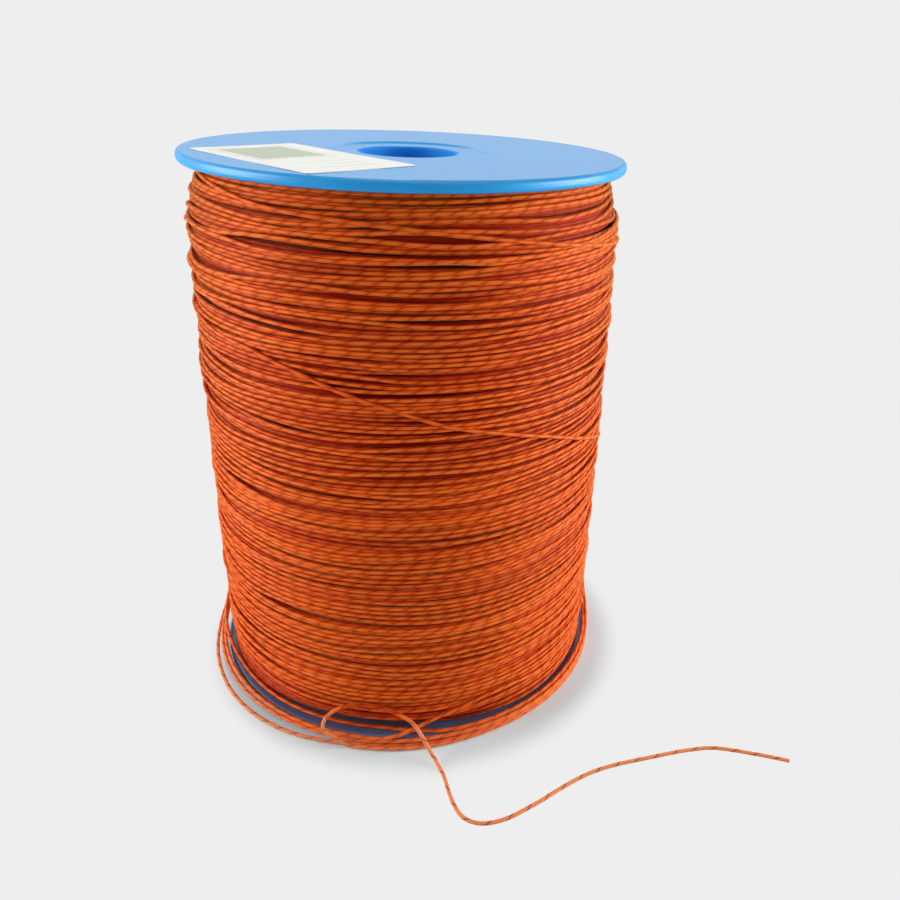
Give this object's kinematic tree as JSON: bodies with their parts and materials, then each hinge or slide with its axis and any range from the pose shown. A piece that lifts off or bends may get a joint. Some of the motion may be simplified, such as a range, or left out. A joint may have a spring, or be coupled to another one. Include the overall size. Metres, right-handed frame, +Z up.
{
  "type": "waxed thread spool",
  "caption": "Full spool of waxed thread: a two-flanged reel with a spindle bore, a barrel-shaped winding, slack turns round its foot and a free thread end.",
  "frame": {"origin": "centre of the spindle bore on the surface that the reel stands on, at the outer face of the lower flange", "axes": "+Z up along the spindle bore; -Y towards the front, where the thread leaves the slack turns; the loose end runs towards +X"},
  "size_m": [0.1277, 0.1128, 0.1169],
  "materials": {
    "reel_plastic": "moulded, semi-gloss",
    "tube_plastic": "extruded, matt",
    "label_paper": "coated paper",
    "waxed_thread": "waxed braid"
  },
  "bodies": {
    "root": {"upper_flange": "reel_plastic", "lower_flange": "reel_plastic", "core_tube": "tube_plastic", "label": "label_paper", "thread_pack": "waxed_thread", "outer_winding": "waxed_thread", "lead_strand": "waxed_thread", "slack_turns": "waxed_thread", "thread_tail": "waxed_thread"}
  },
  "joints": []
}
